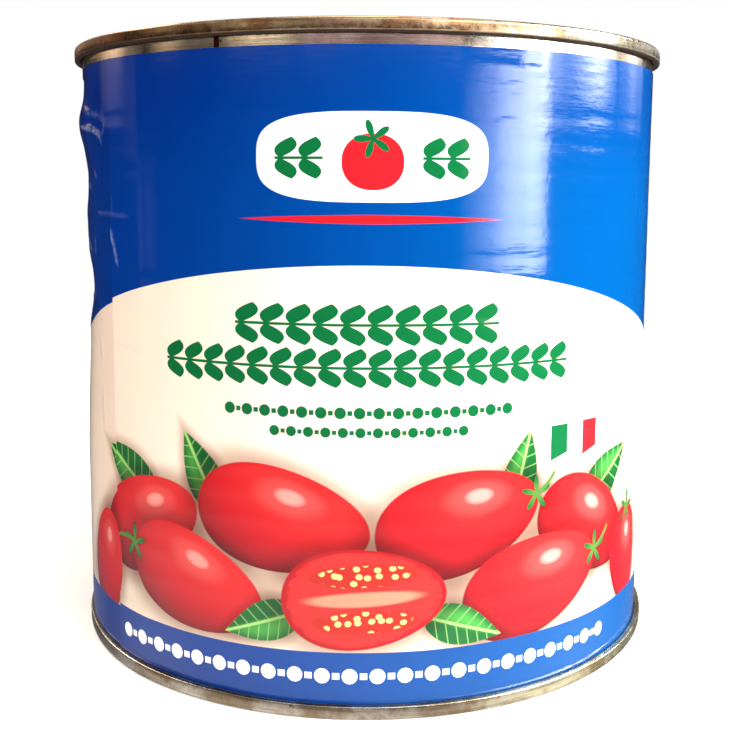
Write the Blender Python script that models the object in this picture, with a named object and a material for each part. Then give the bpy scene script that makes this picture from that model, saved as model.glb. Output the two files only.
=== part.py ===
"""A round catering tin with a paper label, standing upright.

Metres, +Z up. The origin is the centre of the circle that the tin stands on,
and the front of the label faces -Y. Angles are in degrees round the tin:
0 is the front, and they grow towards +X, the right-hand side.
"""

import math

import bmesh
import bpy

# Overall sizes
TIN_HEIGHT = 0.1520
SEAM_RADIUS = 0.0786
SEAM_HEIGHT = 0.0031
BODY_RADIUS = 0.0764
FIT_GAP = 0.0003

# The rolled seam that joins each end to the wall
SEAM_INNER_RADIUS = 0.0762
RIM_OUTER_RADIUS = 0.0781
RIM_INNER_RADIUS = 0.0769
SEAM_EDGE_ROUND = 0.00045
HEM_UNDERCUT = 0.0004

# The pressed end inside the seam: depths are below the rim
END_SHEET = 0.0004
CHUCK_WALL_RADIUS = 0.0753
COUNTERSINK_WIDTH = 0.0020
COUNTERSINK_DEPTH = 0.0056
PANEL_DEPTH = 0.0036
PANEL_RADIUS = 0.0725
OUTER_BEAD_RADIUS = 0.0620
OUTER_BEAD_WIDTH = 0.0060
OUTER_BEAD_HEIGHT = 0.0008
CENTRE_STEP_RADIUS = 0.0440
CENTRE_STEP_WIDTH = 0.0030
CENTRE_STEP_DEPTH = 0.0009

# The wall of the tin, with what it holds as one solid
WALL_SHEET = 0.0004
BODY_RECESS_DEPTH = 0.0071
BODY_CROWN_DEPTH = 0.0056
BODY_CROWN_RADIUS = 0.0700

# The paper label, one sheet whose ends lap near the left side
LABEL_SHEET = 0.0003
LABEL_TOP = 0.1466
LABEL_BOTTOM = SEAM_HEIGHT + 0.0004
LAP_EDGE = -51.5
LAP_WIDTH = 9.0
LAP_RAMP = 3.0
LAP_CLEARANCE = 0.0001

# The knocked-in left side: (angle, height, depth inwards, half width in degrees, half height)
DENTS = (
    (-80.0, 0.0940, 0.0015, 29.0, 0.0480),
    (-78.0, 0.1200, 0.0010, 22.0, 0.0110),
    (-77.0, 0.0915, 0.0011, 22.0, 0.0105),
)
# A fold of the label that stands off the wall above them, given in the same way
FOLDS = ((-74.0, 0.1345, -0.0005, 19.0, 0.0065),)
DENTED_ANGLES = (-110.0, -50.0)
DENTED_HEIGHTS = (0.0440, 0.1440)

# How finely the round and the dented faces are cut
TURN_STEPS = 72
PLAIN_STEP = 4.5
DENTED_STEP = 2.5
DENTED_ROWS = 26
SEAM_EDGE_STEPS = 2
COUNTERSINK_STEPS = 3
MERGE_DISTANCE = 1e-6
ANGLE_SLACK = 0.01

# Finishes: base colour, roughness, metallic
TINPLATE = ((0.52, 0.45, 0.33), 0.32, 1.0)
LACQUERED_PLATE = ((0.63, 0.54, 0.40), 0.30, 1.0)
LABEL_PAPER = ((0.01, 0.12, 0.48), 0.28, 0.0)
SMOOTH_ANGLE = math.radians(35.0)


def clear_scene():
    for old in list(bpy.data.objects):
        bpy.data.objects.remove(old, do_unlink=True)


def make_material(name, finish):
    colour, roughness, metallic = finish
    material = bpy.data.materials.new(name)
    material.use_nodes = True
    shader = material.node_tree.nodes["Principled BSDF"]
    shader.inputs["Base Color"].default_value = (*colour, 1.0)
    shader.inputs["Roughness"].default_value = roughness
    shader.inputs["Metallic"].default_value = metallic
    return material


def add_object(name, bm, material):
    bmesh.ops.recalc_face_normals(bm, faces=bm.faces[:])
    mesh = bpy.data.meshes.new(name)
    bm.to_mesh(mesh)
    bm.free()
    mesh.materials.append(material)
    mesh.shade_smooth()
    mesh.set_sharp_from_angle(angle=SMOOTH_ANGLE)
    obj = bpy.data.objects.new(name, mesh)
    bpy.context.scene.collection.objects.link(obj)
    return obj


def arc_points(centre, radius, start, end, steps):
    """Points (radius from the axis, depth) on an arc, both ends included."""
    points = []
    for i in range(steps + 1):
        angle = math.radians(start + (end - start) * i / steps)
        points.append((centre[0] + radius * math.cos(angle), centre[1] + radius * math.sin(angle)))
    return points


# The ends: a half section in (radius, depth below the rim), turned round the axis

def seam_section():
    """The rolled seam, from its lower outer edge over the rim to the top of the chuck wall."""
    lower_edge = [(SEAM_RADIUS - HEM_UNDERCUT, SEAM_HEIGHT), (SEAM_RADIUS, SEAM_HEIGHT - HEM_UNDERCUT)]
    outer_centre = (SEAM_RADIUS - SEAM_EDGE_ROUND, SEAM_EDGE_ROUND)
    outer_edge = arc_points(outer_centre, SEAM_EDGE_ROUND, 0.0, -60.0, SEAM_EDGE_STEPS)
    rim = [(RIM_OUTER_RADIUS, 0.0), (RIM_INNER_RADIUS, 0.0)]
    inner_edge = [(SEAM_INNER_RADIUS + SEAM_EDGE_ROUND / 2, SEAM_EDGE_ROUND / 2)]
    inner_edge.append((SEAM_INNER_RADIUS, SEAM_EDGE_ROUND * 2))
    return lower_edge + outer_edge + rim + inner_edge


def countersink_section():
    """The groove at the foot of the chuck wall, from the wall to the edge of the panel."""
    round_radius = COUNTERSINK_WIDTH / 2
    centre = (CHUCK_WALL_RADIUS - round_radius, COUNTERSINK_DEPTH - round_radius)
    groove = arc_points(centre, round_radius, 0.0, 180.0, COUNTERSINK_STEPS)
    return groove + [(PANEL_RADIUS, PANEL_DEPTH)]


def panel_section():
    """The expansion panel: a raised ring, then a centre disc set a little lower."""
    half = OUTER_BEAD_WIDTH / 2
    bead = [
        (OUTER_BEAD_RADIUS + half, PANEL_DEPTH),
        (OUTER_BEAD_RADIUS, PANEL_DEPTH - OUTER_BEAD_HEIGHT),
        (OUTER_BEAD_RADIUS - half, PANEL_DEPTH),
    ]
    centre_depth = PANEL_DEPTH + CENTRE_STEP_DEPTH
    step = [
        (CENTRE_STEP_RADIUS, PANEL_DEPTH),
        (CENTRE_STEP_RADIUS - CENTRE_STEP_WIDTH, centre_depth),
    ]
    return bead + step + [(0.0, centre_depth)]


def under_section():
    """The hidden side, from the centre out to the underside of the seam."""
    centre_depth = PANEL_DEPTH + CENTRE_STEP_DEPTH + END_SHEET
    groove_depth = COUNTERSINK_DEPTH + END_SHEET
    wall_radius = CHUCK_WALL_RADIUS + END_SHEET
    return [
        (0.0, centre_depth),
        (PANEL_RADIUS - END_SHEET, centre_depth),
        (PANEL_RADIUS - END_SHEET, groove_depth),
        (wall_radius - COUNTERSINK_WIDTH / 4, groove_depth),
        (wall_radius, groove_depth - COUNTERSINK_WIDTH / 2),
        (wall_radius, SEAM_HEIGHT),
    ]


def turn(section, to_height):
    """A closed solid of revolution from a half section; to_height turns a depth into a height."""
    bm = bmesh.new()
    points = [bm.verts.new((radius, 0.0, to_height(depth))) for radius, depth in section]
    edges = [bm.edges.new(pair) for pair in zip(points, points[1:] + points[:1])]
    bmesh.ops.spin(
        bm,
        geom=points + edges,
        cent=(0.0, 0.0, 0.0),
        axis=(0.0, 0.0, 1.0),
        angle=math.tau,
        steps=TURN_STEPS,
    )
    bmesh.ops.remove_doubles(bm, verts=bm.verts[:], dist=MERGE_DISTANCE)
    return bm


def make_end(name, material, to_height):
    section = seam_section() + countersink_section() + panel_section() + under_section()
    return add_object(name, turn(section, to_height), material)


# The dented wall, shared by the body and the label

def bump(offset):
    """1 at the middle, falling smoothly to 0 at an offset of 1."""
    return max(0.0, 1.0 - offset * offset) ** 2


def depth_of(marks, angle, height):
    total = 0.0
    for mark_angle, mark_height, depth, half_width, half_height in marks:
        across = (angle - mark_angle) / half_width
        along = (height - mark_height) / half_height
        total += depth * bump(across) * bump(along)
    return total


def point_on_wall(radius, angle, height):
    turned = math.radians(angle)
    return (radius * math.sin(turned), -radius * math.cos(turned), height)


def dented(angle):
    """True in the dented stretch, ends included, where a column needs all its rows."""
    return DENTED_ANGLES[0] - ANGLE_SLACK < angle < DENTED_ANGLES[1] + ANGLE_SLACK


def spaced(start, end, step):
    """Numbers from start to end, evenly spaced by about step, both ends included."""
    count = max(1, round(abs(end - start) / step))
    return [start + (end - start) * i / count for i in range(count + 1)]


def dented_heights():
    low, high = DENTED_HEIGHTS
    return [low + (high - low) * i / (DENTED_ROWS - 1) for i in range(DENTED_ROWS)]


def join_columns(bm, first, second):
    """Faces between two upright columns of points; unequal columns share one flat face."""
    if len(first) == len(second):
        for i in range(len(first) - 1):
            bm.faces.new((first[i], second[i], second[i + 1], first[i + 1]))
    else:
        bm.faces.new(first + second[::-1])


def make_body(material):
    """The wall and the contents as one solid, with a recess at each end for the pressed end."""
    bm = bmesh.new()
    top = TIN_HEIGHT - SEAM_HEIGHT - FIT_GAP
    bottom = SEAM_HEIGHT + FIT_GAP
    angles = spaced(DENTED_ANGLES[0], DENTED_ANGLES[1], DENTED_STEP)
    angles += spaced(DENTED_ANGLES[1], DENTED_ANGLES[0] + 360.0, PLAIN_STEP)[1:-1]
    columns = []
    for angle in angles:
        heights = [bottom] + (dented_heights() if dented(angle) else []) + [top]
        column = []
        for height in heights:
            radius = BODY_RADIUS - depth_of(DENTS, angle, height)
            column.append(bm.verts.new(point_on_wall(radius, angle, height)))
        columns.append(column)
    for first, second in zip(columns, columns[1:] + columns[:1]):
        join_columns(bm, first, second)
    recess_radius = BODY_RADIUS - WALL_SHEET
    recess = [
        (recess_radius, 0.0),
        (recess_radius, BODY_RECESS_DEPTH - SEAM_HEIGHT - FIT_GAP),
        (BODY_CROWN_RADIUS, BODY_RECESS_DEPTH - SEAM_HEIGHT - FIT_GAP),
        (BODY_CROWN_RADIUS, BODY_CROWN_DEPTH - SEAM_HEIGHT - FIT_GAP),
    ]
    for row, edge, inwards in ((-1, top, -1.0), (0, bottom, 1.0)):
        ring = [column[row] for column in columns]
        for radius, depth in recess:
            height = edge + inwards * depth
            inner = [bm.verts.new(point_on_wall(radius, angle, height)) for angle in angles]
            for i in range(len(angles)):
                after = (i + 1) % len(angles)
                bm.faces.new((ring[i], ring[after], inner[after], inner[i]))
            ring = inner
        bm.faces.new(ring)
    return add_object("can_body", bm, material)


def label_columns():
    """(angle, lift) of each column of the sheet, from its hidden end round to the lap edge.

    The angles run on past a full turn, so the lapped end has angles of its own.
    """
    hidden_end = LAP_EDGE + LAP_WIDTH
    lift = LABEL_SHEET + LAP_CLEARANCE
    around = spaced(hidden_end, DENTED_ANGLES[1], PLAIN_STEP)
    around += spaced(DENTED_ANGLES[1], DENTED_ANGLES[0], DENTED_STEP)[1:]
    around += spaced(DENTED_ANGLES[0], hidden_end - 360.0 + LAP_RAMP, PLAIN_STEP)[1:]
    lapped = spaced(hidden_end - 360.0, LAP_EDGE - 360.0, LAP_RAMP)
    return [(angle, 0.0) for angle in around] + [(angle, lift) for angle in lapped]


def make_label(material):
    """One sheet of paper wrapped round the wall, its outer end lying on its inner end."""
    bm = bmesh.new()
    inner_radius = BODY_RADIUS + FIT_GAP
    faces_out = []
    faces_in = []
    for angle, lift in label_columns():
        rows = dented_heights() if dented(angle) else []
        outer = []
        inner = []
        for height in [LABEL_BOTTOM] + rows + [LABEL_TOP]:
            shift = lift - depth_of(DENTS + FOLDS, angle, height)
            inner.append(bm.verts.new(point_on_wall(inner_radius + shift, angle, height)))
            outer_radius = inner_radius + LABEL_SHEET + shift
            outer.append(bm.verts.new(point_on_wall(outer_radius, angle, height)))
        faces_out.append(outer)
        faces_in.append(inner)
    for i in range(len(faces_out) - 1):
        join_columns(bm, faces_out[i + 1], faces_out[i])
        join_columns(bm, faces_in[i], faces_in[i + 1])
        for row in (0, -1):
            bm.faces.new(
                (faces_out[i][row], faces_out[i + 1][row], faces_in[i + 1][row], faces_in[i][row])
            )
    for i in (0, -1):
        bm.faces.new(faces_out[i] + faces_in[i][::-1])
    return add_object("paper_label", bm, material)


def main():
    clear_scene()
    tinplate = make_material("tinplate", TINPLATE)
    lacquered = make_material("lacquered_plate", LACQUERED_PLATE)
    paper = make_material("label_paper", LABEL_PAPER)
    make_body(lacquered)
    make_end("top_end", tinplate, lambda depth: TIN_HEIGHT - depth)
    make_end("bottom_end", tinplate, lambda depth: depth)
    make_label(paper)


main()
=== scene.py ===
# A round catering tin with a paper label: its looks.
# Sizes are in mm and turned into metres at the end, +Z up. Angles go round the tin in
# degrees: 0 is the front (-Y), and they grow towards +X, the right-hand side.
import math
from functools import reduce

import bmesh
import bpy
from mathutils import Matrix, Vector, noise


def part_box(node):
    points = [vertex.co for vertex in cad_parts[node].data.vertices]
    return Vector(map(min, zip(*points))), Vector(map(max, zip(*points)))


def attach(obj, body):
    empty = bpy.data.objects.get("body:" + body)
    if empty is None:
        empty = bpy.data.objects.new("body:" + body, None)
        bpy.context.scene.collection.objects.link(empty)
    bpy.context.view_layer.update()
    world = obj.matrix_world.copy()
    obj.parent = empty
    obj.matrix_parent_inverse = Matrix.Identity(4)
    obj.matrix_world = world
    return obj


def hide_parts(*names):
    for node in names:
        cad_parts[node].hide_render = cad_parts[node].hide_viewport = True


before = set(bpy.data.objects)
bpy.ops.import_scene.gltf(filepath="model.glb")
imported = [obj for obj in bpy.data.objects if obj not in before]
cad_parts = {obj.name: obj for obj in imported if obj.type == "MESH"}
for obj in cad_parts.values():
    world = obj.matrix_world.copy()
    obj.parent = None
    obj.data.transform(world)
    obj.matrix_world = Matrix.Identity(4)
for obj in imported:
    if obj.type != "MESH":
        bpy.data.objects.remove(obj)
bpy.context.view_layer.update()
mm = 0.001

# Sizes that the frame gives
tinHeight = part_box("top_end")[1][2] / mm
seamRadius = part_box("top_end")[1][0] / mm
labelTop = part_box("paper_label")[1][2] / mm
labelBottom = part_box("paper_label")[0][2] / mm
labelRadius = 77
wallRadius = 76.75
weldAngle = -24.5
halfGirth = math.pi * labelRadius    # the label's print repeats each half turn


# Colours are given as they look on a screen, 0 to 255

def linear(value):
    value = value / 255
    return value / 12.92 if value <= 0.04045 else ((value + 0.055) / 1.055) ** 2.4


def tint(red, green, blue):
    return (linear(red), linear(green), linear(blue), 1)


# Shapes in numbers

def smooth(value):
    value = min(1, max(0, value))
    return value * value * (3 - 2 * value)


def bump(offset):
    return max(0, 1 - offset * offset) ** 2    # 1 in the middle, 0 from an offset of 1


def spaced(start, end, step):
    count = max(1, round(abs(end - start) / step))
    return [start + (end - start) * i / count for i in range(count + 1)]


def arc(middle, radius, start, end, steps):
    turns = [math.radians(start + (end - start) * i / steps) for i in range(steps + 1)]
    return [(middle[0] + radius * math.cos(t), middle[1] + radius * math.sin(t)) for t in turns]


def frontAngle(angle):
    return (angle + 180) % 360 - 180    # the same place, between -180 and 180


def onWall(radius, angle, height):
    turn = math.radians(angle)
    return (radius * math.sin(turn) * mm, -radius * math.cos(turn) * mm, height * mm)


# The left side is knocked in. Each mark: angle, height, depth, half width in degrees, half height
knocks = {
    "dents": (
        (-80, 94, 1.5, 29, 48),
        (-78, 120, 1, 22, 11),
        (-77, 91.5, 1.1, 22, 10.5),
        (-80, 143.5, 1.3, 25, 11),
    ),
    # Only in the paper: a fold that stands off the wall, and pockets between the creases
    "pockets": (
        (-75, 133.6, -0.55, 19, 6.2),
        (-61.5, 133.4, 0.16, 3.6, 2),
        (-60.5, 127.6, 0.26, 3.6, 2.6),
        (-56, 124, 0.12, 4.5, 5),
        (-66, 112, 0.25, 7, 4),
        (-64, 99.5, -0.20, 7, 3.5),
    ),
    # Creases stand out: from angle and height, to angle and height, half width, how far
    "creases": (
        (-70, 132.2, -60, 130.8, 1.3, 0.36),
        (-60, 130.8, -55.6, 129.1, 1.3, 0.34),
        (-55.6, 129.1, -55.2, 127.2, 1.1, 0.28),
        (-66, 135.6, -55.7, 133.9, 1.6, 0.16),
        (-55.7, 133.9, -53.4, 131.6, 1.5, 0.16),
        (-53.4, 131.6, -54.6, 129, 1.3, 0.14),
        (-60.2, 121.4, -58.2, 119.2, 1, 0.28),
        (-59.2, 110.9, -44.6, 110.3, 1.5, 0.12),
        (-50.9, 115.4, -50.8, 111.4, 1, 0.10),
        (-51.6, 107.4, -49.1, 98.4, 1.6, 0.26),
        (-60.4, 105, -60.6, 100, 1.1, 0.26),
        (-58.2, 79.4, -57.6, 75, 1.1, 0.26),
        (-57.4, 67.4, -57, 56.5, 1, 0.24),
        (-58.8, 64, -52.6, 63.6, 1.2, 0.10),
        (-51, 80.6, -40, 78.6, 2.4, 0.12),
        (-70, 104, -63.5, 101, 1.5, 0.28),
        (-72, 88.5, -61.5, 91, 1.5, 0.25),
        (-69, 118.5, -62.5, 116.5, 1.4, 0.26),
        (17.5, 142.9, 30.5, 142.3, 1.3, 0.12),
    ),
    # Shallow ribs in the plate behind the label: first height, gap, how many, depths
    "ribs": {"first": 22.8, "gap": 6.12, "count": 19, "halfWidth": 2.1, "plate": 0.35, "paper": 0.035},
    "waviness": 0.05,
    "ripple": 0.012,
}


def depthOf(marks, angle, height):
    total = 0
    for markAngle, markHeight, depth, halfWidth, halfHeight in marks:
        across = (angle - markAngle) / halfWidth
        along = (height - markHeight) / halfHeight
        total += depth * bump(across) * bump(along)
    return total


def creaseAt(angle, height):
    total = 0
    perDegree = math.radians(1) * labelRadius
    for angleA, heightA, angleB, heightB, halfWidth, lift in knocks["creases"]:
        line = Vector(((angleB - angleA) * perDegree, heightB - heightA))
        point = Vector(((angle - angleA) * perDegree, height - heightA))
        part = min(1, max(0, point.dot(line) / line.length_squared))
        away = (point - line * part).length / halfWidth
        if away < 1:
            ends = smooth(4 * min(part, 1 - part) + 0.35)
            total += lift * ends * (1 - away) ** 2
    return total


def ribAt(height):
    ribs = knocks["ribs"]
    nearest = round((height - ribs["first"]) / ribs["gap"])
    middle = ribs["first"] + ribs["gap"] * min(ribs["count"] - 1, max(0, nearest))
    return bump((height - middle) / ribs["halfWidth"])


def plateRelief(angle, height):
    return -depthOf(knocks["dents"], angle, height) - knocks["ribs"]["plate"] * ribAt(height)


def paperRelief(angle, height):
    relief = -depthOf(knocks["dents"] + knocks["pockets"], angle, height)
    relief += creaseAt(angle, height) - knocks["ribs"]["paper"] * ribAt(height)
    turn = math.radians(angle)
    around = Vector((math.sin(turn), math.cos(turn), 0))
    slow = noise.noise(around * 2.2 + Vector((0, 0, height / 26)))
    quick = noise.noise(around * 9 + Vector((5, 0, height / 7)))
    return relief + knocks["waviness"] * slow + knocks["ripple"] * quick


# Meshes

def place(name, data):
    item = bpy.data.objects.new(name, data)
    bpy.context.scene.collection.objects.link(item)
    return item


def makePiece(name, points, faces, materials, nodes, sharp=40, faceMaterials=None):
    mesh = bpy.data.meshes.new(name)
    mesh.from_pydata(points, [], faces)
    if faceMaterials:
        mesh.polygons.foreach_set("material_index", faceMaterials)
    shell = bmesh.new()
    shell.from_mesh(mesh)
    bmesh.ops.recalc_face_normals(shell, faces=shell.faces[:])
    shell.to_mesh(mesh)
    shell.free()
    for material in materials:
        mesh.materials.append(material)
    mesh.shade_smooth()
    mesh.set_sharp_from_angle(angle=math.radians(sharp))
    piece = place(name, mesh)
    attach(piece, "root")
    if nodes:
        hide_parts(*nodes)
    print(name, len(points), "points")
    return piece


def turnedMesh(profile, angles, relief):
    # The profile runs from the axis out and back to the axis, as (radius, height)
    points = [(0, 0, profile[0][1] * mm)]
    rings = []
    for radius, height in profile[1:-1]:
        rings.append(range(len(points), len(points) + len(angles)))
        for angle in angles:
            outwards, upwards = relief(angle, radius, height)
            points.append(onWall(radius + outwards, angle, height + upwards))
    points.append((0, 0, profile[-1][1] * mm))
    faces = []
    count = len(angles)
    for i in range(count):
        after = (i + 1) % count
        faces.append((0, rings[0][i], rings[0][after]))
        for lower, upper in zip(rings, rings[1:]):
            faces.append((lower[i], upper[i], upper[after], lower[after]))
        faces.append((len(points) - 1, rings[-1][after], rings[-1][i]))
    return points, faces


# Node trees

class Wiring:
    def __init__(self, tree):
        self.tree = tree

    def feed(self, socket, value):
        if isinstance(value, bpy.types.NodeSocket):
            self.tree.links.new(value, socket)
        else:
            socket.default_value = value

    def add(self, kind, inputs, **settings):
        node = self.tree.nodes.new("ShaderNode" + kind)
        for name, value in settings.items():
            setattr(node, name, value)
        for name, value in inputs.items():
            self.feed(node.inputs[name], value)
        return node

    def calc(self, operation, *values, clamp=False):
        inputs = dict(enumerate(values))
        return self.add("Math", inputs, operation=operation, use_clamp=clamp).outputs[0]

    def minus(self, value, other):
        return self.calc("SUBTRACT", value, other)

    def times(self, value, other):
        return self.calc("MULTIPLY", value, other)

    def over(self, value, other):
        return self.calc("DIVIDE", value, other)

    def scaled(self, value, factor, added, clamp=False):
        return self.calc("MULTIPLY_ADD", value, factor, added, clamp=clamp)

    def size(self, value):
        return self.calc("ABSOLUTE", value)

    def away(self, value, other):
        return self.size(self.minus(value, other))

    def vector(self, operation, *values):
        node = self.add("VectorMath", dict(enumerate(values)), operation=operation)
        asNumber = operation in ("LENGTH", "DOT_PRODUCT")
        return node.outputs["Value" if asNumber else "Vector"]

    def join(self, x, y, z=0):
        return self.add("CombineXYZ", {"X": x, "Y": y, "Z": z}).outputs[0]

    def split(self, vector):
        return self.add("SeparateXYZ", {"Vector": vector}).outputs

    def blend(self, factor, below, above, mode="MIX"):
        inputs = {0: factor, 6: below, 7: above}
        node = self.add("Mix", inputs, data_type="RGBA", blend_type=mode)
        return node.outputs[2]

    def ease(self, value, start, end):
        # 0 at start, 1 at end, whichever is larger
        inputs = {"Value": value, "From Min": start, "From Max": end}
        return self.add("MapRange", inputs, interpolation_type="SMOOTHSTEP").outputs[0]

    def inside(self, distance, softness=0.12):
        # 1 where the distance to an outline is below 0, with a soft edge in mm
        return self.scaled(distance, -1 / softness, 0.5, clamp=True)

    def below(self, value, limit):
        return self.inside(self.minus(value, limit))

    def both(self, *masks):
        return reduce(self.times, masks)

    def either(self, *masks):
        return reduce(lambda one, other: self.calc("MAXIMUM", one, other), masks)

    def spot(self):
        # The place on the piece, in mm
        spot = self.vector("SCALE", self.add("TexCoord", {}).outputs["Object"])
        spot.node.inputs["Scale"].default_value = 1 / mm
        return spot

    def noise(self, vector, scale, detail=2, roughness=0.5):
        inputs = {"Vector": vector, "Scale": scale, "Detail": detail, "Roughness": roughness}
        return self.add("TexNoise", inputs).outputs["Fac"]

    def ramp(self, value, stops):
        node = self.add("ValToRGB", {"Fac": value})
        points = node.color_ramp.elements
        while len(points) < len(stops):
            points.new(0.5)
        for point, (position, colour) in zip(points, stops):
            point.position = position
            point.color = colour
        return node.outputs[0]

    def relief(self, height, distance, strength=1):
        inputs = {"Height": height, "Distance": distance * mm, "Strength": strength}
        return self.add("Bump", inputs).outputs[0]


def newMaterial(name):
    material = bpy.data.materials.new(name)
    material.use_nodes = True
    return material, Wiring(material.node_tree), material.node_tree.nodes["Principled BSDF"]


def finishWith(wires, shader, constants, **linked):
    for name, value in constants.items():
        shader.inputs[name].default_value = value
    for name, socket in linked.items():
        wires.feed(shader.inputs[name.replace("_", " ")], socket)


# Motifs of the printed picture. Each is a drawing tool, with a middle, a turn and half sizes,
# that lays its motif over the colour that comes in

def newMotif(name):
    group = bpy.data.node_groups.new(name, "ShaderNodeTree")
    group.interface.new_socket("Below", in_out="INPUT", socket_type="NodeSocketColor")
    for label in ("Place", "Middle", "Turn", "Size"):
        group.interface.new_socket(label, in_out="INPUT", socket_type="NodeSocketVector")
    group.interface.new_socket("Colour", in_out="OUTPUT", socket_type="NodeSocketColor")
    w = Wiring(group)
    given = group.nodes.new("NodeGroupInput").outputs
    inputs = {"Vector": given["Place"], "Location": given["Middle"],
              "Rotation": given["Turn"], "Scale": given["Size"]}
    spot = w.add("Mapping", inputs, vector_type="TEXTURE").outputs[0]
    along, across, _ = w.split(spot)
    return w, given, along, across


def layMotif(w, given, colour, off, edge, shadow):
    # The motif where off is below 0, and round it a shadow with its reach and strength
    reach, strength = shadow
    amount = w.times(w.ease(off, reach, 0), strength)
    below = w.blend(amount, given["Below"], plumColours["shadow"], "MULTIPLY")
    return w.blend(w.ease(off, edge, -edge), below, colour)


def closeMotif(w, colour):
    w.feed(w.tree.nodes.new("NodeGroupOutput").inputs[0], colour)
    return w.tree


plumColours = {
    "shades": (
        (0.10, tint(74, 4, 14)),
        (0.42, tint(140, 10, 20)),
        (0.70, tint(184, 15, 25)),
        (0.95, tint(204, 32, 33)),
    ),
    "gleam": tint(246, 176, 164),
    "shadow": tint(176, 150, 138),
    "light": (0.34, 0.62, 0.71),
    "gleamFacing": (0.16, 0.48, 0.86),
}

leafColours = {
    "dark": tint(18, 92, 40),
    "light": tint(66, 148, 62),
    "vein": tint(150, 198, 110),
    "stalk": tint(70, 120, 48),
}

cutColours = {
    "skin": tint(160, 12, 22),
    "flesh": tint(198, 38, 36),
    "core": tint(226, 130, 104),
    "jelly": tint(170, 34, 24),
    "seed": tint(232, 196, 120),
}


def plumOutline(w, along, across):
    taper = w.scaled(along, 0.16, 1)
    flat = w.join(along, w.times(across, taper))
    return flat, w.vector("LENGTH", flat)


def plumGroup():
    w, given, along, across = newMotif("plum tomato")
    flat, reach = plumOutline(w, along, across)
    depth = w.calc("SQRT", w.calc("SUBTRACT", 1, w.times(reach, reach), clamp=True))
    inputs = {"Vector": flat, "Rotation": given["Turn"]}
    upright = w.add("VectorRotate", inputs, rotation_type="EULER_XYZ").outputs[0]
    surface = w.vector("ADD", upright, w.join(0, 0, depth))
    lit = w.vector("DOT_PRODUCT", surface, plumColours["light"])
    skin = w.ramp(w.scaled(lit, 0.5, 0.5), plumColours["shades"])
    facing = w.vector("DOT_PRODUCT", surface, plumColours["gleamFacing"])
    glow = w.times(w.ease(facing, 0.86, 1), 0.11)
    gleam = w.times(w.ease(facing, 0.972, 0.995), 0.6)
    skin = w.blend(w.either(glow, gleam), skin, plumColours["gleam"])
    return closeMotif(w, layMotif(w, given, skin, w.minus(reach, 1), 0.012, (0.42, 0.75)))


def cutGroup():
    w, given, along, across = newMotif("cut tomato")
    flat, reach = plumOutline(w, along, across)
    side = w.size(across)
    ripple = w.noise(flat, 5, 1)
    flesh = w.blend(w.ease(ripple, 0.35, 0.7), cutColours["flesh"], cutColours["skin"])
    flesh = w.blend(w.ease(reach, 0.86, 0.93), cutColours["flesh"], flesh)
    flesh = w.blend(w.ease(reach, 0.925, 0.955), flesh, cutColours["skin"])
    core = w.vector("LENGTH", w.join(w.over(along, 0.72), w.over(side, 0.15)))
    flesh = w.blend(w.ease(core, 1.15, 0.75), flesh, cutColours["core"])
    lobe = w.join(w.over(along, 0.66), w.over(w.minus(side, 0.46), 0.25))
    lobe = w.calc("ADD", w.vector("LENGTH", lobe), w.times(ripple, 0.25))
    flesh = w.blend(w.ease(lobe, 1.16, 1.04), flesh, cutColours["jelly"])
    inputs = {"Vector": w.vector("MULTIPLY", flat, (7.2, 5.2, 1)), "Scale": 1, "Randomness": 0.8}
    cells = w.add("TexVoronoi", inputs, voronoi_dimensions="2D").outputs["Distance"]
    seeds = w.both(w.ease(cells, 0.34, 0.26), w.ease(lobe, 1.02, 0.94))
    flesh = w.blend(seeds, flesh, cutColours["seed"])
    return closeMotif(w, layMotif(w, given, flesh, w.minus(reach, 1), 0.012, (0.42, 0.75)))


def leafGroup():
    w, given, along, across = newMotif("leaf")
    side = w.size(across)
    lean = w.either(w.scaled(along, -0.30, 0.88), 0.4)
    off = w.minus(side, w.times(w.minus(1, w.times(along, along)), lean))
    green = w.blend(w.ease(across, -0.25, 0.25), leafColours["dark"], leafColours["light"])
    green = w.blend(w.ease(off, -0.55, 0.1), green, leafColours["dark"])
    steps = w.calc("FRACT", w.minus(w.times(along, 4), side))
    sideVein = w.ease(w.away(steps, 0.5), 0.10, 0.02)
    vein = w.either(w.times(sideVein, 0.55), w.ease(side, 0.10, 0.03))
    green = w.blend(vein, green, leafColours["vein"])
    return closeMotif(w, layMotif(w, given, green, off, 0.03, (0.55, 0.6)))


def calyxGroup():
    w, given, along, across = newMotif("calyx")
    reach = w.vector("LENGTH", w.join(along, across))
    turn = w.calc("ARCTAN2", across, along)
    lobes = w.size(w.calc("COSINE", w.times(turn, 2.5)))
    off = w.minus(reach, w.scaled(w.calc("POWER", lobes, 3), 0.80, 0.20))
    green = w.blend(w.ease(reach, 0.1, 1), leafColours["stalk"], leafColours["dark"])
    colour = layMotif(w, given, green, off, 0.04, (0.35, 0.6))
    bend = w.times(w.times(along, along), 0.22)
    stalk = w.minus(w.away(across, bend), 0.11)
    ends = w.both(w.ease(along, 0, 0.06), w.ease(along, 1.62, 1.56))
    stalk = w.both(ends, w.ease(stalk, 0.04, -0.04))
    return closeMotif(w, w.blend(stalk, colour, leafColours["stalk"]))


# The label's print. Places are mm along the paper from the front's middle, and mm above the base

inks = {
    "deepBlue": tint(0, 50, 136),
    "paintedLitBlue": tint(0, 72, 134),     # painted light: the blue is lighter towards the right-hand side, where more light falls
    "paintedTopShade": (1, 0.70, 0.86, 1),    # painted shade: the blue is darker near the top
    "offWhite": tint(238, 219, 202),
    "white": tint(250, 249, 246),
    "green": tint(12, 96, 50),
    "red": tint(212, 30, 38),
    "groundShade": tint(206, 192, 172),
}

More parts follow.
